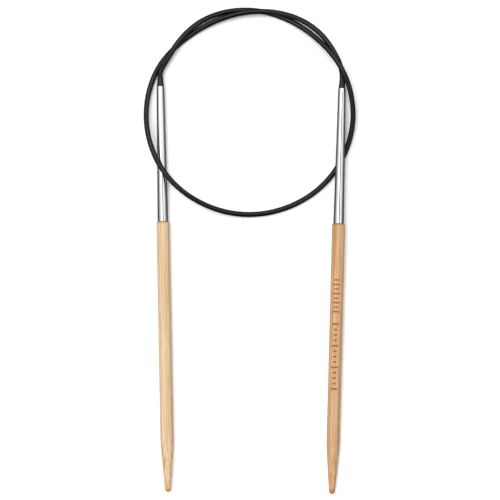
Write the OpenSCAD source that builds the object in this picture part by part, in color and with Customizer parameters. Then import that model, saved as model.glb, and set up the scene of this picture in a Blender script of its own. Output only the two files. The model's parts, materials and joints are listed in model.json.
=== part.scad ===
// Circular knitting needle: two bamboo tips in tapered metal ferrules, joined by one
// flexible cord that lies in a turn and a half of loop. Millimetres, +Z up, table at z = 0.
// The needles point towards -Y and the loop lies at +Y.

/* [Shaft] */

// Diameter of the straight bamboo shaft, the needle's nominal size
shaft_d = 3.0; // [2.75:0.05:3.5]
// Visible length of a bamboo tip, from the ferrule's rim to the point
tip_len = 62.6; // [50:0.1:90]
// Length of the tapered part of a bamboo tip
taper_len = 12.2; // [8:0.1:20]
// Radius of the rounded point
point_r = 0.64; // [0.4:0.02:0.8]
// Bevel round the bamboo's shoulder at the ferrule
shoulder_bevel = 0.12; // [0.05:0.01:0.25]

/* [Ferrule] */

// Length of the metal ferrule
ferrule_len = 31.4; // [24:0.1:40]
// Outside diameter of the ferrule at the cord end
mouth_d = 1.75; // [1.7:0.05:2.0]
// Outside diameter of the ferrule at the bamboo end
rim_d = 2.45; // [2.3:0.05:2.7]
// Rounding of the ferrule's two rims
rim_round = 0.09; // [0.04:0.01:0.12]
// Length of the bamboo tenon glued inside the ferrule
tenon_len = 7.8; // [5:0.1:12]
// Diameter of the bamboo tenon
tenon_d = 1.8; // [1.6:0.05:1.85]

/* [Cord] */

// Diameter of the cord
cord_d = 1.2; // [0.9:0.05:1.2]
// Rings of the cord's tube
cord_rings = 78; // [60:1:80]
// Length of the moulded collar outside the ferrule
collar_len = 2.2; // [1.5:0.1:2.5]
// Diameter of the collar where it meets the ferrule
collar_d = 1.64; // [1.5:0.02:1.7]

/* [Fit] */

// Radial clearance of the cord's stem in the ferrule's bore
stem_gap = 0.025; // [0.02:0.005:0.05]
// Gap between the collar and the ferrule's mouth
face_gap = 0.05; // [0.03:0.01:0.1]

/* [Hidden] */

$fn = 64;

// Where the left needle's mouth lies, and how it is turned: pitch, then turn about Z.
left_mouth = [-21.05, 46.1, 1.5];
left_turn = [90, 0, 1.07];
// The right ferrule rests on the cord, so that needle is pitched a little.
right_mouth = [21.0, 45.6, 2.93];
right_turn = [91, 0, -1.42];

// Stations along a needle, counted from the mouth towards the point.
shaft_end = ferrule_len + tip_len - taper_len;
point_z = ferrule_len + tip_len;
tenon_start = ferrule_len - tenon_len;
bore_r = tenon_d / 2 + 0.05;
stem_r = cord_d / 2 - 0.025;
stem_bore_r = stem_r + stem_gap;
stem_len = 5.5;
bead_len = 1.6;
bead_r = 0.70;
pocket_r = bead_r + 0.04;
tail_r = 0.35;
cord_tip_r = cord_d / 2 + 0.05;
shaft_r = shaft_d / 2;

// The cord's route: the control points of an even cubic B-spline, from the left collar
// over the top, round behind the right ferrule, over the left one and back to the right.
route = [
    [-21.1, 49.6, 1.5], [-20.1, 51.3, 1.7], [-18.8, 53.4, 1.9], [-17.4, 55.7, 1.9],
    [-15.3, 58.3, 1.6], [-12.3, 60.9, 1.1], [-8.4, 62.8, 0.8], [-3.8, 63.8, 0.6],
    [0.9, 63.8, 0.6], [5.6, 62.8, 0.6], [9.9, 60.9, 1.0], [13.6, 58.5, 1.9],
    [16.9, 55.5, 3.1], [19.7, 52.2, 4.1], [21.9, 48.3, 4.4], [23.3, 43.8, 3.6],
    [23.8, 38.6, 2.0], [22.8, 32.8, 0.9], [19.9, 26.6, 0.8], [15.0, 21.3, 0.6],
    [8.5, 17.7, 0.6], [1.3, 16.1, 0.6], [-5.6, 16.6, 1.0], [-11.7, 18.8, 2.6],
    [-17.0, 22.3, 3.5], [-21.1, 27.1, 3.4], [-23.7, 33.0, 3.3], [-24.6, 39.3, 1.9],
    [-23.8, 45.7, 0.6], [-21.3, 51.4, 0.6], [-17.1, 55.8, 0.6], [-12.3, 59.3, 0.8],
    [-7.0, 61.9, 1.3], [-1.2, 63.4, 1.8], [5.1, 63.5, 1.9], [11.2, 61.9, 1.9],
    [16.2, 58.5, 2.1], [19.3, 54.0, 2.6], [21.0, 50.1, 2.9]
];

// ---- placing -------------------------------------------------------------------------

module at_left() {
    translate(left_mouth) rotate(left_turn) children();
}

module at_right() {
    translate(right_mouth) rotate(right_turn) children();
}

// The direction from a needle's mouth back along the cord.
function back(turn) = [
    -sin(turn[2]) * sin(turn[0]), cos(turn[2]) * sin(turn[0]), -cos(turn[0])
];

// ---- the cord ------------------------------------------------------------------------

cord_start = left_mouth + back(left_turn) * (collar_len + 0.02);
cord_stop = right_mouth + back(right_turn) * (collar_len + 0.02);
inner = concat([cord_start], route, [cord_stop]);
last = len(inner) - 1;
ctrl = concat([2 * inner[0] - inner[1]], inner, [2 * inner[last] - inner[last - 1]]);

function weights(u) = [
    pow(1 - u, 3) / 6, (3 * u * u * u - 6 * u * u + 4) / 6,
    (-3 * u * u * u + 3 * u * u + 3 * u + 1) / 6, u * u * u / 6
];
function slopes(u) = [
    -pow(1 - u, 2) / 2, (3 * u * u - 4 * u) / 2, (-3 * u * u + 2 * u + 1) / 2, u * u / 2
];
function mix4(w, i) = w[0] * ctrl[i] + w[1] * ctrl[i + 1] + w[2] * ctrl[i + 2]
    + w[3] * ctrl[i + 3];
function cell(t) = min(floor(t), last - 1);
function on_route(t) = mix4(weights(t - cell(t)), cell(t));
function along(t) = mix4(slopes(t - cell(t)), cell(t));
function unit(v) = v / norm(v);

sides = 8;
ring_count = cord_rings;
function ring(t) = let (
        mid = on_route(t),
        ahead = unit(along(t)),
        right = unit(cross(ahead, [0, 0, 1])),
        up = cross(right, ahead)
    ) [
        for (k = [0 : sides - 1])
            let (a = (k + 0.5) * 360 / sides)
            mid + cord_d / 2 * (cos(a) * right + sin(a) * up)
    ];

module cord() {
    rings = [for (i = [0 : ring_count - 1]) ring(last * i / (ring_count - 1))];
    points = [for (r = rings) each r];
    walls = [
        for (i = [0 : ring_count - 2], k = [0 : sides - 1])
            let (a = i * sides + k, b = i * sides + (k + 1) % sides)
            each [[a, b, b + sides], [a, b + sides, a + sides]]
    ];
    first_cap = [for (k = [0 : sides - 1]) sides - 1 - k];
    last_cap = [for (k = [0 : sides - 1]) (ring_count - 1) * sides + k];
    color([0.05, 0.05, 0.055])
        polyhedron(points, concat([first_cap], walls, [last_cap]), convexity = 8);
}

// ---- one needle, mouth at the origin and the point along +Z --------------------------

// Moulded collar with the stem that runs into the ferrule's bore.
module cord_collar() {
    color([0.06, 0.06, 0.065])
        rotate_extrude()
            polygon([
                [0, -collar_len], [cord_tip_r, -collar_len],
                [cord_tip_r + 0.01, -collar_len * 0.75],
                [cord_tip_r + 0.05, -collar_len * 0.45],
                [collar_d / 2 - 0.03, -collar_len * 0.18],
                [collar_d / 2, -face_gap - 0.08], [collar_d / 2 - 0.03, -face_gap],
                [stem_r, -face_gap], [stem_r, stem_len + 0.05],
                [tail_r, stem_len + 0.05], [tail_r, stem_len + bead_len],
                [0, stem_len + bead_len]
            ]);
}

// Crimped metal bead that keeps the cord's end behind the ferrule's shoulder.
module anchor_bead() {
    color([0.72, 0.60, 0.34])
        translate([0, 0, stem_len + 0.05])
            rotate_extrude()
                polygon([
                    [tail_r, 0], [bead_r - 0.12, 0], [bead_r, 0.12],
                    [bead_r, bead_len - 0.17], [bead_r - 0.12, bead_len - 0.05],
                    [tail_r, bead_len - 0.05]
                ]);
}

// Tapered metal tube: bore for the stem, pocket for the bead, socket for the tenon.
module ferrule() {
    color([0.80, 0.81, 0.83])
        rotate_extrude()
            polygon([
                [stem_bore_r, 0], [mouth_d / 2 - rim_round, 0], [mouth_d / 2, rim_round],
                [rim_d / 2, ferrule_len - rim_round * 2],
                [rim_d / 2 - rim_round * 0.5, ferrule_len - rim_round * 0.6],
                [rim_d / 2 - rim_round * 1.3, ferrule_len],
                [bore_r, ferrule_len], [bore_r, tenon_start - 0.2],
                [bore_r - 0.07, tenon_start - 0.2], [pocket_r, stem_len + bead_len + 0.3],
                [pocket_r, stem_len], [stem_bore_r, stem_len]
            ]);
}

// Film of adhesive between the tenon and the ferrule's socket.
module glue_film() {
    color([0.78, 0.74, 0.60])
        translate([0, 0, tenon_start])
            difference() {
                cylinder(r = bore_r - 0.005, h = tenon_len - 0.1);
                translate([0, 0, -1]) cylinder(r = tenon_d / 2 + 0.005, h = tenon_len + 2);
            }
}

// The point's outline: [share of the taper, share of the way from point_r to the shaft].
outline = [
    [0.00, 1.000], [0.05, 0.985], [0.12, 0.945], [0.20, 0.880], [0.32, 0.745],
    [0.45, 0.590], [0.58, 0.440], [0.70, 0.310], [0.82, 0.170], [0.91, 0.075]
];

// Bamboo tip with its tenon, straight shaft, taper and rounded point.
module bamboo_tip() {
    nose_z = point_z - point_r;
    color([0.85, 0.72, 0.53])
        rotate_extrude()
            polygon(concat(
                [
                    [0, tenon_start], [tenon_d / 2 - 0.15, tenon_start],
                    [tenon_d / 2, tenon_start + 0.3], [tenon_d / 2, ferrule_len + 0.01],
                    [shaft_r - shoulder_bevel, ferrule_len + 0.01],
                    [shaft_r - shoulder_bevel * 0.3, ferrule_len + shoulder_bevel * 0.35],
                    [shaft_r, ferrule_len + shoulder_bevel]
                ],
                [
                    for (p = outline)
                        [point_r + p[1] * (shaft_r - point_r), shaft_end + p[0] * taper_len]
                ],
                [
                    for (a = [8 : 13.6667 : 85])
                        [point_r * cos(a), nose_z + point_r * sin(a)]
                ],
                [[0, point_z]]
            ));
}

// ---- the nodes -----------------------------------------------------------------------

cord();
at_left() cord_collar();  // left_cord_collar
at_left() anchor_bead();  // left_anchor_bead
at_left() ferrule();  // left_ferrule
at_left() glue_film();  // left_glue_film
at_left() bamboo_tip();  // left_bamboo_tip
at_right() cord_collar();  // right_cord_collar
at_right() anchor_bead();  // right_anchor_bead
at_right() ferrule();  // right_ferrule
at_right() glue_film();  // right_glue_film
at_right() bamboo_tip();  // right_bamboo_tip
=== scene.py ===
"""Circular knitting needle: bamboo tips in bright tapered ferrules, joined by a looped black cord."""

import json
import math

import bpy
from mathutils import Matrix, Vector


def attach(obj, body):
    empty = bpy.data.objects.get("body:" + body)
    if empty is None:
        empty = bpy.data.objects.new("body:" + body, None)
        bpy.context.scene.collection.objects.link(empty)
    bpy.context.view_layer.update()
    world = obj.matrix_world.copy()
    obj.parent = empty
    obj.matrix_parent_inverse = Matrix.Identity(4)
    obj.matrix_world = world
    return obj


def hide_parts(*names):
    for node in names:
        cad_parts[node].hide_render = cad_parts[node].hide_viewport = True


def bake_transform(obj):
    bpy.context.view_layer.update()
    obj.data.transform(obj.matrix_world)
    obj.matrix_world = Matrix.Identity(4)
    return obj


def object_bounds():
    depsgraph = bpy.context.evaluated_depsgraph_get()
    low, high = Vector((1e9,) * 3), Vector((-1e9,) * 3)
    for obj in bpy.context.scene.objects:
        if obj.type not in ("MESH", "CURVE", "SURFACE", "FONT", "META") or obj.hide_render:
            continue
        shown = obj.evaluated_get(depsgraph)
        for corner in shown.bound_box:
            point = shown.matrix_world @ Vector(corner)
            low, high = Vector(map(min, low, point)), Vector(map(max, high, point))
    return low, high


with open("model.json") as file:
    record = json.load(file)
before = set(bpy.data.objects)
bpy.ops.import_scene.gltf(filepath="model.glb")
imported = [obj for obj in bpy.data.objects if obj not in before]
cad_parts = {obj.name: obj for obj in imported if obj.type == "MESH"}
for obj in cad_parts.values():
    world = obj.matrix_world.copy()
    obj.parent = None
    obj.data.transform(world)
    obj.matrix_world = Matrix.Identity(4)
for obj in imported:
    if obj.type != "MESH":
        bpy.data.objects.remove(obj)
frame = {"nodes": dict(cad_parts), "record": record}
cad_low, cad_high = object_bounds()

MM = 0.001
UP = Vector((0, 0, 1))
SIDES = ("left", "right")
JOINTS = {joint["name"]: joint for joint in frame["record"]["behaviour"]["joints"]}


def back_of(side):
    """The direction from a ferrule's mouth back along the cord."""
    return Vector(JOINTS[side + "_roll"]["axis"]).normalized()


def mouth_of(side):
    """The centre of a ferrule's mouth."""
    return Vector(JOINTS[side + "_roll"]["pos_m"])


# ---- driving sizes, the same as the part's own -----------------------------------------

CORD_R = 0.6 * MM
COLLAR_LENGTH = 2.22 * MM  # from a ferrule's mouth to the cord's end
FERRULE_LENGTH = 31.4 * MM
MOUTH_R = 0.875 * MM  # outside of the ferrule at its mouth, where the cord goes in
RIM_R = 1.225 * MM  # outside of the ferrule at its rim, next to the bamboo
RIM_ROUND = 0.09 * MM
TENON_LENGTH = 7.8 * MM
TENON_R = 0.90 * MM
NEEDLE_LENGTH = 94.0 * MM  # from the ferrule's mouth to the bamboo's point
SHAFT_R = 1.5 * MM
BEVEL = 0.12 * MM  # round the shaft's sawn end
TAPER_START = 81.8 * MM
POINT_R = 0.64 * MM

# ---- camera ----------------------------------------------------------------------------

VIEW_WIDTH = 0.116  # what the image shows across, at the table
VIEW_HEIGHT = 0.95  # the camera above the table
VIEW_SHIFT = Vector((0.1, 0.17)) * MM  # the image's middle, from the part's middle
SENSOR = 36.0

middle = (cad_low + cad_high) / 2
camera_data = bpy.data.cameras.new("camera")
camera_data.sensor_width = SENSOR
camera_data.lens = SENSOR * VIEW_HEIGHT / VIEW_WIDTH
camera_data.clip_start = 0.01
camera_data.clip_end = 10
camera = bpy.data.objects.new("camera", camera_data)
camera.location = (middle.x + VIEW_SHIFT.x, middle.y + VIEW_SHIFT.y, VIEW_HEIGHT)
bpy.context.collection.objects.link(camera)
bpy.context.scene.camera = camera

# ---- materials -------------------------------------------------------------------------

PER_MM = 1000  # turns metres into millimetres, the unit that the noises' scales are in
MIX_COLOURS = (6, 7)  # a Mix node's two colour inputs, after those for numbers and vectors
MIX_RESULT = 2  # and its colour output


class Nodes:
    """A node tree, written one node at a time."""

    def __init__(self, tree):
        self.tree = tree

    def add(self, kind, inputs=None, **settings):
        node = self.tree.nodes.new("ShaderNode" + kind)
        for key, value in settings.items():
            setattr(node, key, value)
        for key, value in (inputs or {}).items():
            self.feed(node.inputs[key], value)
        return node

    def feed(self, socket, value):
        """Links an output, or sets a plain value."""
        if isinstance(value, bpy.types.NodeSocket):
            self.tree.links.new(value, socket)
        else:
            socket.default_value = value

    def math(self, operation, *values):
        return self.add("Math", dict(enumerate(values)), operation=operation).outputs[0]

    def fade(self, value, start, stop, base=0.0, top=1.0, smooth=True):
        """A number that goes from base to top as the value goes from start to stop."""
        return self.add(
            "MapRange",
            {"Value": value, "From Min": start, "From Max": stop, "To Min": base, "To Max": top},
            interpolation_type="SMOOTHSTEP" if smooth else "LINEAR",
        ).outputs["Result"]

    def noise(self, vector, scale, detail=3.0, rough=0.5, distort=0.0):
        return self.add(
            "TexNoise",
            {
                "Vector": vector,
                "Scale": scale,
                "Detail": detail,
                "Roughness": rough,
                "Distortion": distort,
            },
        ).outputs["Fac"]

    def ramp(self, factor, stops):
        """A colour ramp from (place, colour or grey) pairs."""
        node = self.add("ValToRGB", {"Fac": factor})
        elements = node.color_ramp.elements
        while len(elements) < len(stops):
            elements.new(0.5)
        for element, (place, colour) in zip(elements, stops):
            if isinstance(colour, (int, float)):
                colour = (colour, colour, colour)
            element.position = place
            element.color = (*colour, 1)
        return node.outputs[0]

    def mix(self, factor, first, second):
        """The first colour at factor 0 and the second at factor 1."""
        node = self.add("Mix", data_type="RGBA")
        self.feed(node.inputs["Factor"], factor)
        for socket, value in zip(MIX_COLOURS, (first, second)):
            if isinstance(value, tuple):
                value = (*value, 1)
            self.feed(node.inputs[socket], value)
        return node.outputs[MIX_RESULT]

    def bump(self, height, strength, distance):
        return self.add(
            "Bump", {"Height": height, "Strength": strength, "Distance": distance}
        ).outputs[0]


class MaterialNodes(Nodes):
    """A new material's nodes, with its shader and the places on its piece."""

    def __init__(self, name):
        self.material = bpy.data.materials.new(name)
        self.material.use_nodes = True
        super().__init__(self.material.node_tree)
        self.shader = self.tree.nodes["Principled BSDF"]
        self.at = self.add("TexCoord").outputs["Object"]

    def place(self, along=PER_MM, across=PER_MM, shift=(0, 0, 0)):
        """The place on the piece. The smaller along is, the longer the features lie along Z."""
        return self.add(
            "Mapping", {"Vector": self.at, "Scale": (across, across, along), "Location": shift}
        ).outputs[0]

    def finish(self, **values):
        """Sets the shader's sockets, given with _ for a space."""
        for key, value in values.items():
            if isinstance(value, tuple) and len(value) == 3:
                value = (*value, 1)
            self.feed(self.shader.inputs[key.replace("_", " ")], value)
        return self.material


def linear(red, green, blue):
    """A linear colour from 0 to 255 display values, by the sRGB curve."""
    return tuple(
        (v / 255 / 12.92) if v <= 10 else ((v / 255 + 0.055) / 1.055) ** 2.4
        for v in (red, green, blue)
    )


def scaled(colour, by):
    """A colour times one number, or times a number for each channel."""
    if isinstance(by, float):
        by = (by, by, by)
    return tuple(channel * factor for channel, factor in zip(colour, by))


# What a bamboo's dark colour is multiplied by, for each thing that shows in it.
FINE_FIBRE = 0.93
BUNDLE = 0.70  # a bundle's core, seen through the skin
OPEN_FIBRE = (1.02, 0.96, 0.74)  # honey-coloured fibres where the taper cuts them
OPEN_BUNDLE = (0.72, 0.60, 0.42)  # a bundle's core where the taper cuts it
# painted shade along the sawn end, where the shaft meets the ferrule
JOINT_SHADE = 0.45
HANDLED = (0.98, 0.74, 0.36)


def bamboo_material(name, pale, mid, dark, seed):
    """Split bamboo: straight fibres under a thin skin that the taper cuts through."""
    n = MaterialNodes(name)
    broad = n.noise(n.place(8, shift=(seed, 0, 0)), 0.7, 2.0, 0.5)
    streak = n.noise(n.place(9, shift=(0, seed, 0)), 2.1, 2.0, 0.6)
    fine = n.noise(n.place(28, shift=(seed, seed, 0)), 5.0, 3.0, 0.65)
    dash = n.noise(n.place(170, shift=(0, seed, seed)), 2.6, 2.0, 0.55)
    # Vascular bundles: dark cores of small cells, broken up along the grain.
    cells = n.add(
        "TexVoronoi",
        {"Vector": n.place(40, shift=(seed, 3, 0)), "Scale": 2.6},
        feature="F1",
    ).outputs["Distance"]
    cores = n.ramp(cells, [(0.12, 1.0), (0.34, 0.0)])
    patches = n.noise(n.place(260, across=800, shift=(0, 0, seed)), 1.0, 2.0)
    breaks = n.ramp(patches, [(0.42, 0.15), (0.60, 1.0)])
    bundles = n.math("MULTIPLY", cores, breaks)
    # The skin is the outer part of the shaft; the taper runs out of it in long tongues.
    place = n.add("SeparateXYZ", {"Vector": n.at}).outputs
    flat = n.add("CombineXYZ", {"X": place["X"], "Y": place["Y"]}).outputs[0]
    out = n.add("VectorMath", {0: flat}, operation="LENGTH").outputs["Value"]
    ragged = n.math("MULTIPLY_ADD", n.math("SUBTRACT", streak, 0.5), 0.9 * MM, out)
    skinless = n.fade(ragged, SHAFT_R + 0.06 * MM, SHAFT_R - 0.14 * MM)
    tapered = n.fade(out, SHAFT_R - 0.002 * MM, SHAFT_R - 0.05 * MM, smooth=False)
    core = n.math("MULTIPLY", skinless, tapered)

    colour = n.ramp(streak, [(0.36, dark), (0.46, mid), (0.56, pale)])
    colour = n.mix(n.ramp(broad, [(0.38, 0.60), (0.54, 0.0)]), colour, mid)
    fibres = n.ramp(fine, [(0.36, 0.65), (0.54, 0.0)])
    colour = n.mix(fibres, colour, scaled(dark, FINE_FIBRE))
    colour = n.mix(n.math("MULTIPLY", bundles, 0.40), colour, scaled(dark, BUNDLE))
    deep = n.mix(
        n.math("MULTIPLY", bundles, 0.85),
        n.ramp(dash, [(0.40, scaled(dark, OPEN_FIBRE)), (0.58, pale)]),
        scaled(dark, OPEN_BUNDLE),
    )
    colour = n.mix(n.math("MULTIPLY", core, 0.85), colour, deep)
    # Painted shade: the shaft is darkened along its sawn end next to the ferrule, where the joint is
    # in shade.
    shade_at_joint = n.fade(
        place["Z"], FERRULE_LENGTH + 0.45 * MM, FERRULE_LENGTH + 0.10 * MM, top=0.6, smooth=False
    )
    colour = n.mix(shade_at_joint, colour, scaled(dark, JOINT_SHADE))
    # The very point is handled most and has turned a warm brown.
    point = n.fade(place["Z"], NEEDLE_LENGTH - 1.8 * MM, NEEDLE_LENGTH - 0.4 * MM, top=0.9)
    colour = n.mix(point, colour, scaled(dark, HANDLED))
    height = n.math("ADD", n.math("MULTIPLY", fine, 0.7), n.math("MULTIPLY", streak, 0.5))
    height = n.math("SUBTRACT", height, n.math("MULTIPLY", bundles, 0.5))
    return n.finish(
        Base_Color=colour,
        Roughness=n.ramp(fine, [(0.3, 0.52), (0.7, 0.38)]),
        Normal=n.bump(height, 0.6, 0.03 * MM),
        Coat_Weight=0.15,
        Coat_Roughness=0.28,
        Specular_IOR_Level=0.4,
    )


def ferrule_material():
    """Polished nickel plate with drawing lines along it and fine rub marks round it."""
    n = MaterialNodes("nickel_plate")
    drawn = n.noise(n.place(12), 7.0, 3.0, 0.65)
    rubbed = n.noise(n.place(across=160, shift=(5, 0, 0)), 2.4, 4.0, 0.7)
    smudge = n.noise(n.place(300), 0.5, 3.0, 0.6, 0.6)
    height = n.math("ADD", n.math("MULTIPLY", drawn, 0.5), n.math("MULTIPLY", rubbed, 0.3))
    return n.finish(
        Base_Color=n.mix(smudge, (0.74, 0.745, 0.75), (0.82, 0.815, 0.805)),
        Metallic=1.0,
        # Painted shade: the dark specular tint darkens the metal's reflection towards its rims.
        Specular_Tint=(0.25, 0.26, 0.28),
        Roughness=n.ramp(smudge, [(0.35, 0.04), (0.7, 0.10)]),
        Normal=n.bump(height, 0.10, 0.01 * MM),
    )


def cord_material():
    """Satin black nylon with a faint extrusion grain and dull scuffs."""
    n = MaterialNodes("black_nylon")
    speck = n.noise(n.place(), 6.0, 3.0, 0.6)
    scuff = n.noise(n.place(), 0.35, 4.0, 0.65)
    return n.finish(
        Base_Color=n.mix(scuff, (0.0015, 0.0015, 0.0018), (0.005, 0.005, 0.0055)),
        Roughness=n.ramp(scuff, [(0.3, 0.15), (0.7, 0.26)]),
        Normal=n.bump(speck, 0.25, 0.012 * MM),
        Specular_IOR_Level=0.34,
    )


def collar_material():
    """Moulded black plastic, a little duller than the cord."""
    n = MaterialNodes("black_moulding")
    grain = n.noise(n.place(), 9.0, 3.0, 0.6)
    return n.finish(
        Base_Color=n.mix(grain, (0.003, 0.003, 0.0034), (0.008, 0.008, 0.0085)),
        Roughness=n.ramp(grain, [(0.3, 0.42), (0.7, 0.54)]),
        Normal=n.bump(grain, 0.3, 0.015 * MM),
    )


def burnt_material():
    """Burnt-in marking: brown with uneven charring."""
    n = MaterialNodes("burnt_mark")
    char = n.noise(n.place(), 3.0, 4.0, 0.65)
    return n.finish(
        Base_Color=n.ramp(char, [(0.3, linear(112, 58, 26)), (0.7, linear(158, 92, 46))]),
        Roughness=n.ramp(char, [(0.3, 0.7), (0.7, 0.55)]),
        Normal=n.bump(char, 0.4, 0.01 * MM),
    )


def bead_material():
    """Crimped brass, hidden in the ferrule."""
    n = MaterialNodes("crimped_brass")
    grain = n.noise(n.place(), 5.0, 3.0, 0.6)
    return n.finish(
        Base_Color=n.mix(grain, (0.62, 0.45, 0.20), (0.75, 0.58, 0.30)),
        Metallic=1.0,
        Roughness=n.ramp(grain, [(0.3, 0.25), (0.7, 0.4)]),
    )


def glue_material():
    """Set adhesive, hidden in the ferrule."""
    n = MaterialNodes("set_adhesive")
    cloud = n.noise(n.place(), 2.0, 3.0, 0.6)
    return n.finish(
        Base_Color=n.mix(cloud, (0.55, 0.48, 0.30), (0.66, 0.60, 0.42)),
        Roughness=n.ramp(cloud, [(0.3, 0.3), (0.7, 0.45)]),
    )


def paper_material():
    """The white table under the part."""
    n = MaterialNodes("paper")
    fleck = n.noise(n.place(), 1.5, 4.0, 0.6)
    return n.finish(
        Base_Color=n.mix(fleck, (0.90, 0.90, 0.90), (0.92, 0.92, 0.92)),
        Roughness=0.9,
        Specular_IOR_Level=0.1,
    )


BAMBOO = {
    "left": bamboo_material(
        "bamboo_left", linear(205, 185, 156), linear(199, 169, 130), linear(185, 145, 97), 3.7
    ),
    "right": bamboo_material(
        "bamboo_right", linear(190, 159, 124), linear(187, 146, 101), linear(169, 124, 74), 11.3
    ),
}
NICKEL = ferrule_material()
NYLON = cord_material()
MOULDING = collar_material()
BURNT = burnt_material()
BRASS = bead_material()
ADHESIVE = glue_material()

# ---- mesh helpers ----------------------------------------------------------------------


def new_mesh(name, points, faces, material, smooth=True):
    mesh = bpy.data.meshes.new(name)
    mesh.from_pydata([tuple(p) for p in points], [], faces)
    mesh.polygons.foreach_set("use_smooth", [smooth] * len(mesh.polygons))
    mesh.materials.append(material)
    mesh.update()
    piece = bpy.data.objects.new(name, mesh)
    bpy.context.collection.objects.link(piece)
    return piece


def tube_faces(rings, sides, caps):
    """The faces between rings of points, one ring after another, with or without end caps."""
    faces = []
    for i in range(rings - 1):
        near = i * sides
        far = near + sides
        for k in range(sides):
            q = (k + 1) % sides
            faces.append((near + k, near + q, far + q, far + k))
    if caps:
        faces.append(tuple(range(sides))[::-1])
        faces.append(tuple((rings - 1) * sides + k for k in range(sides)))
    return faces


# ---- the cord --------------------------------------------------------------------------

BEND = 2.4 * MM  # the stretch of cord next to a collar, made as a piece of its own
CORD_SIDES = 32
ROUTE_STEPS = 24  # how finely each span of the route is followed
RING_STEP = 0.3 * MM

# The route's points, in metres, the same as in part.scad.
ROUTE = [
    (-0.0211, 0.0496, 0.0015), (-0.0201, 0.0513, 0.0017), (-0.0188, 0.0534, 0.0019),
    (-0.0174, 0.0557, 0.0019), (-0.0153, 0.0583, 0.0016), (-0.0123, 0.0609, 0.0011),
    (-0.0084, 0.0628, 0.0008), (-0.0038, 0.0638, 0.0006), (0.0009, 0.0638, 0.0006),
    (0.0056, 0.0628, 0.0006), (0.0099, 0.0609, 0.0010), (0.0136, 0.0585, 0.0019),
    (0.0169, 0.0555, 0.0031), (0.0197, 0.0522, 0.0041), (0.0219, 0.0483, 0.0044),
    (0.0233, 0.0438, 0.0036), (0.0238, 0.0386, 0.0020), (0.0228, 0.0328, 0.0009),
    (0.0199, 0.0266, 0.0008), (0.0150, 0.0213, 0.0006), (0.0085, 0.0177, 0.0006),
    (0.0013, 0.0161, 0.0006), (-0.0056, 0.0166, 0.0010), (-0.0117, 0.0188, 0.0026),
    (-0.0170, 0.0223, 0.0035), (-0.0211, 0.0271, 0.0034), (-0.0237, 0.0330, 0.0033),
    (-0.0246, 0.0393, 0.0019), (-0.0238, 0.0457, 0.0006), (-0.0213, 0.0514, 0.0006),
    (-0.0171, 0.0558, 0.0006), (-0.0123, 0.0593, 0.0008), (-0.0070, 0.0619, 0.0013),
    (-0.0012, 0.0634, 0.0018), (0.0051, 0.0635, 0.0019), (0.0112, 0.0619, 0.0019),
    (0.0162, 0.0585, 0.0021), (0.0193, 0.0540, 0.0026), (0.0210, 0.0501, 0.0029),
]  # fmt: skip


def spline(points, steps):
    """An even cubic B-spline that starts at the first point and ends at the last."""
    inner = [Vector(p) for p in points]
    control = [2 * inner[0] - inner[1], *inner, 2 * inner[-1] - inner[-2]]
    line = []
    for i in range(len(inner) - 1):
        for j in range(steps):
            u = j / steps
            weights = (
                (1 - u) ** 3,
                3 * u**3 - 6 * u**2 + 4,
                -3 * u**3 + 3 * u**2 + 3 * u + 1,
                u**3,
            )
            line.append(sum((w / 6 * control[i + k] for k, w in enumerate(weights)), Vector()))
    line.append(inner[-1])
    return line


def even(line, step):
    """The same line with its points an equal length apart, and its length."""
    lengths = [0.0]
    for a, b in zip(line, line[1:]):
        lengths.append(lengths[-1] + (b - a).length)
    count = round(lengths[-1] / step)
    out = []
    j = 0
    for i in range(count + 1):
        want = lengths[-1] * i / count
        while j < len(line) - 2 and lengths[j + 1] < want:
            j += 1
        share = (want - lengths[j]) / (lengths[j + 1] - lengths[j])
        out.append(line[j].lerp(line[j + 1], min(max(share, 0), 1)))
    return out, lengths[-1]


def cord_rings(line):
    """One ring of points square to the line at each of its points."""
    rings = []
    for i, point in enumerate(line):
        ahead = (line[min(i + 1, len(line) - 1)] - line[max(i - 1, 0)]).normalized()
        left = UP.cross(ahead).normalized()
        up = ahead.cross(left)
        ring = []
        for k in range(CORD_SIDES):
            a = math.tau * k / CORD_SIDES
            ring.append(point + CORD_R * (math.cos(a) * left + math.sin(a) * up))
        rings.append(ring)
    return rings


cord_ends = [mouth_of(side) + back_of(side) * COLLAR_LENGTH for side in SIDES]
cord_line, cord_length = even(spline([cord_ends[0], *ROUTE, cord_ends[1]], ROUTE_STEPS), RING_STEP)
all_rings = cord_rings(cord_line)
final = len(cord_line) - 1
bend_rings = round(BEND / cord_length * final)


def cord_piece(name, first, last):
    """The cord from one of its rings to another, closed at both ends."""
    rings = all_rings[first : last + 1]
    points = [p for ring in rings for p in ring]
    piece = new_mesh(name, points, tube_faces(len(rings), CORD_SIDES, True), NYLON)
    return piece


main_cord = cord_piece("cord_loop", bend_rings, final - bend_rings)
left_bend = cord_piece("cord_bend_left", 0, bend_rings)
right_bend = cord_piece("cord_bend_right", final - bend_rings, final)

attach(main_cord, "cord")
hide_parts("cord")
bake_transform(left_bend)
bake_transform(right_bend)

# ---- the needles -----------------------------------------------------------------------

NEEDLE_SIDES = 96


def turned_points(outline):
    """A ring of points round Z for each (radius, place along Z) pair."""
    points = []
    for radius, along in outline:
        for k in range(NEEDLE_SIDES):
            a = math.tau * k / NEEDLE_SIDES
            points.append((radius * math.cos(a), radius * math.sin(a), along))
    return points


def lathe(name, outline, material):
    """A solid turned shape whose outline starts and ends on the axis."""
    rows = outline[1:-1]
    faces = tube_faces(len(rows), NEEDLE_SIDES, False)
    points = turned_points(rows)
    start = len(points)
    stop = start + 1
    points.append((0, 0, outline[0][1]))
    points.append((0, 0, outline[-1][1]))
    base = start - NEEDLE_SIDES
    for k in range(NEEDLE_SIDES):
        q = (k + 1) % NEEDLE_SIDES
        faces.append((start, q, k))
        faces.append((stop, base + k, base + q))
    return new_mesh(name, points, faces, material)


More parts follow.
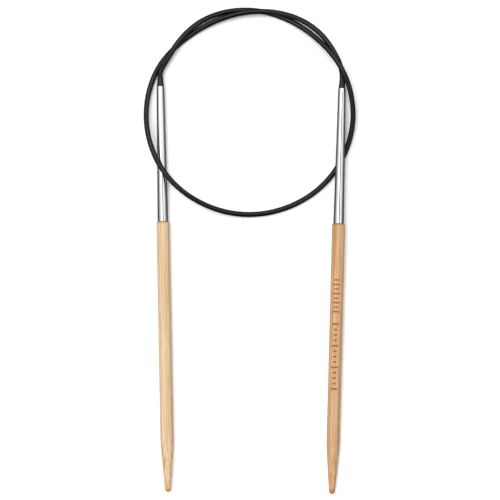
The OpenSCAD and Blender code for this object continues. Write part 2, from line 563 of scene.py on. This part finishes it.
def hollow_lathe(name, outline, material):
    """A turned ring shape whose outline is a closed loop clear of the axis."""
    points = turned_points(outline)
    # The ring after the last one is the first again.
    faces = [
        tuple(corner % len(points) for corner in face)
        for face in tube_faces(len(outline) + 1, NEEDLE_SIDES, False)
    ]
    return new_mesh(name, points, faces, material)


def placed(piece, side):
    """Stands a needle's piece at its mouth: +Z towards the point, +X to the top of the shaft."""
    along = -back_of(side)
    top = (UP - along.z * along).normalized()
    turn = Matrix((top, along.cross(top), along)).transposed().to_4x4()
    piece.matrix_world = Matrix.Translation(mouth_of(side)) @ turn
    return piece


# The taper: the share of its length, and the share of the shaft's radius left over the point's.
TAPER = [
    (0.00, 1.000), (0.05, 0.985), (0.12, 0.945), (0.20, 0.880), (0.32, 0.745), (0.45, 0.590),
    (0.58, 0.440), (0.70, 0.310), (0.82, 0.170), (0.91, 0.075), (1.00, 0.000),
]  # fmt: skip
TAPER_CUT = 0.94  # the share of the taper at which the rounded point takes over
TOUCHING = 1e-9


def taper_radius(share):
    """The radius a share of the way along the taper, smooth between the outline's points."""
    i = max(k for k in range(len(TAPER) - 1) if TAPER[k][0] <= share + TOUCHING)
    (a, p), (b, q) = TAPER[i], TAPER[i + 1]
    before = TAPER[max(i - 1, 0)]
    after = TAPER[min(i + 2, len(TAPER) - 1)]
    # The taper leaves the shaft without a corner.
    slope_a = 0.0 if i == 0 else (q - before[1]) / (b - before[0])
    slope_b = (after[1] - p) / (after[0] - a)
    h = b - a
    t = (share - a) / h
    value = (
        (2 * t**3 - 3 * t**2 + 1) * p
        + (t**3 - 2 * t**2 + t) * h * slope_a
        + (-2 * t**3 + 3 * t**2) * q
        + (t**3 - t**2) * h * slope_b
    )
    return POINT_R + value * (SHAFT_R - POINT_R)


def quarter_turn(steps):
    """Angles from 0 to a right angle."""
    return [math.pi / 2 * k / steps for k in range(steps + 1)]


def bamboo_outline():
    """The bamboo tip from its tenon's end to its point."""
    tenon_start = FERRULE_LENGTH - TENON_LENGTH
    chamfer_depth = 0.15 * MM
    chamfer_length = 0.3 * MM
    shoulder = FERRULE_LENGTH + 0.01 * MM
    rows = [
        (0, tenon_start),
        (TENON_R - chamfer_depth, tenon_start),
        (TENON_R, tenon_start + chamfer_length),
        (TENON_R, shoulder),
        (SHAFT_R - BEVEL - 0.05 * MM, shoulder),
    ]
    for a in quarter_turn(6):
        rows.append(
            (SHAFT_R - BEVEL + BEVEL * math.sin(a), shoulder + BEVEL - BEVEL * math.cos(a))
        )
    shaft_start = shoulder + BEVEL
    shaft_steps = 40
    for k in range(1, shaft_steps):
        rows.append((SHAFT_R, shaft_start + (TAPER_START - shaft_start) * k / shaft_steps))
    taper_steps = 46
    for k in range(taper_steps):
        share = TAPER_CUT * k / taper_steps
        rows.append((taper_radius(share), TAPER_START + share * (NEEDLE_LENGTH - TAPER_START)))
    nose = NEEDLE_LENGTH - POINT_R
    nose_start = 3  # degrees
    nose_step = 7.5
    for k in range(12):
        a = math.radians(nose_start + nose_step * k)
        rows.append((POINT_R * math.cos(a), nose + POINT_R * math.sin(a)))
    rows.append((0, NEEDLE_LENGTH))
    return rows


def ferrule_outline():
    """The ferrule up its outside from the mouth to the rim, and back down its inside."""
    rows = [
        (MOUTH_R - RIM_ROUND + RIM_ROUND * math.sin(a), RIM_ROUND - RIM_ROUND * math.cos(a))
        for a in quarter_turn(5)
    ]
    cone_end = FERRULE_LENGTH - 2 * RIM_ROUND
    cone_steps = 30
    for k in range(1, cone_steps + 1):
        share = k / cone_steps
        radius = MOUTH_R + (RIM_R - MOUTH_R) * share
        rows.append((radius, RIM_ROUND + (cone_end - RIM_ROUND) * share))
    for a in quarter_turn(5)[1:]:
        rows.append(
            (RIM_R - 1.3 * RIM_ROUND * (1 - math.cos(a)), cone_end + 2 * RIM_ROUND * math.sin(a))
        )
    bore_r = TENON_R + 0.05 * MM
    bore_end = FERRULE_LENGTH - TENON_LENGTH - 0.2 * MM
    middle_r = 0.88 * MM
    pocket_r = 0.74 * MM  # round the bead on the cord's end
    pocket_start = 5.5 * MM
    pocket_end = 7.4 * MM
    stem_bore_r = CORD_R
    rows += [
        (bore_r, FERRULE_LENGTH),
        (bore_r, bore_end),
        (middle_r, bore_end),
        (pocket_r, pocket_end),
        (pocket_r, pocket_start),
        (stem_bore_r, pocket_start),
        (stem_bore_r, 0.0),
    ]
    return rows


HIDDEN_PARTS = {"cord_collar": MOULDING, "anchor_bead": BRASS, "glue_film": ADHESIVE}

for side in SIDES:
    tip = placed(lathe(side + "_tip", bamboo_outline(), BAMBOO[side]), side)
    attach(tip, side + "_needle")
    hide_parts(side + "_bamboo_tip")
    tube = placed(hollow_lathe(side + "_tube", ferrule_outline(), NICKEL), side)
    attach(tube, side + "_needle")
    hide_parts(side + "_ferrule")
    for node, material in HIDDEN_PARTS.items():
        materials = frame["nodes"][side + "_" + node].data.materials
        materials.clear()
        materials.append(material)

# ---- the burnt marks -------------------------------------------------------------------

MARK_R = SHAFT_R + 0.008 * MM  # a burnt bar stands a hair proud of the shaft
MARK_ROOT = SHAFT_R - 0.03 * MM  # and reaches this deep into it
MARK_STEP = 0.1 * MM  # how finely it bends round the shaft
MARK_TURN = 0.10  # how far round from the top the rows lie, in radians


def burnt_bars(name, along, count, pitch, width, short, tall, every):
    """A row of bars across the right needle, towards its mouth, with a taller one every so many."""
    points = []
    faces = []
    for i in range(count):
        length = tall if i % every == 0 else short
        high = along - i * pitch
        low = high - width
        section = ((MARK_ROOT, low), (MARK_ROOT, high), (MARK_R, high), (MARK_R, low))
        steps = math.ceil(length / MARK_STEP)
        first = len(points)
        for j in range(steps + 1):
            a = MARK_TURN + (j / steps - 0.5) * length / MARK_R
            for radius, z in section:
                points.append((radius * math.cos(a), radius * math.sin(a), z))
        for face in tube_faces(steps + 1, len(section), True):
            faces.append(tuple(first + corner for corner in face))
    piece = new_mesh(name, points, faces, BURNT, smooth=False)
    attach(placed(piece, "right"), "right_needle")


burnt_bars(
    "size_bars",
    along=51.9 * MM,
    count=8,
    pitch=1.05 * MM,
    width=0.34 * MM,
    short=1.0 * MM,
    tall=1.7 * MM,
    every=2,
)
burnt_bars(
    "gauge_bars",
    along=69.8 * MM,
    count=13,
    pitch=1.25 * MM,
    width=0.38 * MM,
    short=0.8 * MM,
    tall=1.6 * MM,
    every=4,
)

# ---- floor and light -------------------------------------------------------------------

FLOOR = 3.0  # half the floor's width

floor = new_mesh(
    "floor",
    [(-FLOOR, -FLOOR, 0), (FLOOR, -FLOOR, 0), (FLOOR, FLOOR, 0), (-FLOOR, FLOOR, 0)],
    [(0, 1, 2, 3)],
    paper_material(),
)
# The bright metal shows the dark of the room below its horizon, not the white table.
floor.visible_glossy = False

DOME = 1.26  # the dome's brightness
UNDER = 0.10  # what shows below the horizon
HORIZON = (-0.02, 0.05)  # the heights between which it changes to the dome

# How bright the dome is, from 0 at -X to 1 at +X.
DOME_ACROSS = [
    (0.000, 0.50), (0.015, 0.62), (0.090, 0.58), (0.200, 0.96),
    (0.740, 1.00), (0.840, 0.86), (0.930, 0.50), (1.000, 0.42),
]  # fmt: skip
# The same from 0 at -Y to 1 at +Y.
DOME_DEEP = [
    (0.000, 1.00), (0.020, 0.90), (0.067, 0.55), (0.150, 0.55),
    (0.250, 0.72), (0.390, 1.00), (0.860, 1.00), (0.980, 0.50),
]  # fmt: skip
# The same from 0 at the horizon to 1 overhead.
DOME_RISE = [(0.00, 0.10), (0.06, 0.18), (0.20, 0.50), (0.40, 0.95), (0.50, 1.00)]

GAP_X = 0.09  # the middle of the dark gap overhead, to the right
GAP_SIDES = (0.165, 0.200)  # how far from there along X it begins to fade, and is gone
GAP_END = (0.042, 0.070)  # where along Y, from the front, it begins to fade, and is gone

LAMP_WAY = Vector((-0.14, 0.16, 1.0)).normalized()  # towards a soft lamp high in the dome
LAMP_EDGE = (0.93, 0.98)  # the cosines at its faint rim and where it is full
LAMP = 2.4  # how much brighter than the dome it is

KEY_WAY = Vector((-0.26, 0.28, 1.0))  # towards the sun
KEY_WIDTH = math.radians(42)
KEY = 1.8


def sky():
    """A white dome, dark at the sides and in front, with a narrow gap and a lamp overhead."""
    world = bpy.data.worlds.new("studio")
    bpy.context.scene.world = world
    world.use_nodes = True
    n = Nodes(world.node_tree)
    n.tree.nodes.clear()
    looking = n.add("TexCoord").outputs["Generated"]
    way = n.add("SeparateXYZ", {"Vector": looking}).outputs
    across = n.ramp(n.math("MULTIPLY_ADD", way["X"], 0.5, 0.5), DOME_ACROSS)
    deep = n.ramp(n.math("MULTIPLY_ADD", way["Y"], 0.5, 0.5), DOME_DEEP)
    rise = n.ramp(way["Z"], DOME_RISE)
    dome = n.math("MULTIPLY", n.math("MULTIPLY", across, deep), rise)
    from_gap = n.math("ABSOLUTE", n.math("SUBTRACT", way["X"], GAP_X))
    gap = n.math("MAXIMUM", n.fade(from_gap, *GAP_SIDES), n.fade(way["Y"], *GAP_END))
    dome = n.math("MULTIPLY", dome, gap)
    towards_lamp = n.add(
        "VectorMath", {0: looking, 1: LAMP_WAY}, operation="DOT_PRODUCT"
    ).outputs["Value"]
    dome = n.math("MULTIPLY", dome, n.fade(towards_lamp, *LAMP_EDGE, base=1.0, top=LAMP))
    above = n.fade(way["Z"], *HORIZON, smooth=False)
    dome = n.mix(above, (UNDER, UNDER, UNDER), dome)
    background = n.add("Background", {"Color": dome, "Strength": DOME})
    n.add("OutputWorld", {"Surface": background.outputs[0]})


sky()

sun_data = bpy.data.lights.new("key", "SUN")
sun_data.energy = KEY
sun_data.angle = KEY_WIDTH
sun = bpy.data.objects.new("key", sun_data)
sun.rotation_mode = "QUATERNION"
sun.rotation_quaternion = KEY_WAY.to_track_quat("Z", "Y")
# The dome's lamp, not the sun, is what shines in the metal and on the cord.
sun.visible_glossy = False
bpy.context.collection.objects.link(sun)

scene = bpy.context.scene
scene.view_settings.view_transform = "Standard"
scene.view_settings.look = "None"
scene.view_settings.exposure = 0.0
